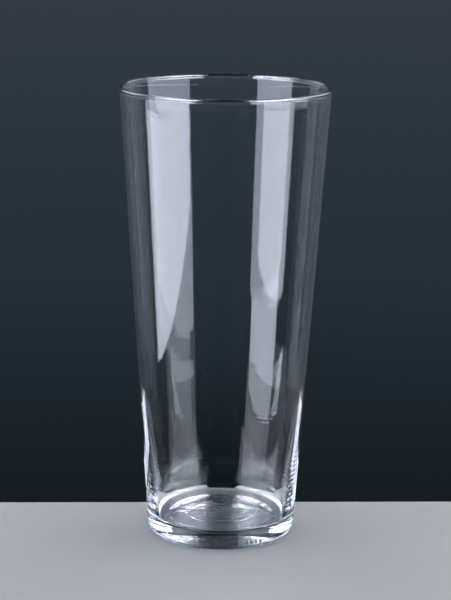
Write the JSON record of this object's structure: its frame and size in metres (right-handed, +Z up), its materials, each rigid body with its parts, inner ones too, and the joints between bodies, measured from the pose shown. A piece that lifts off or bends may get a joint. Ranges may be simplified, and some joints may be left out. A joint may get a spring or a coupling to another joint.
{
  "type": "pint glass",
  "caption": "Tall conical clear drinking glass with a fine rounded rim, straight walls that thicken towards a heavy base, and a flat ring foot.",
  "frame": {"origin": "middle of the base, on the surface that the glass stands on", "axes": "+Z up along the axis of the glass, out of its mouth; X and Y are alike, because the glass is a body of revolution"},
  "size_m": [0.0806, 0.0806, 0.174],
  "materials": {
    "glass": "clear colourless soda-lime glass, fire-polished and glossy all over"
  },
  "bodies": {
    "root": {"glass": "glass"}
  },
  "joints": []
}
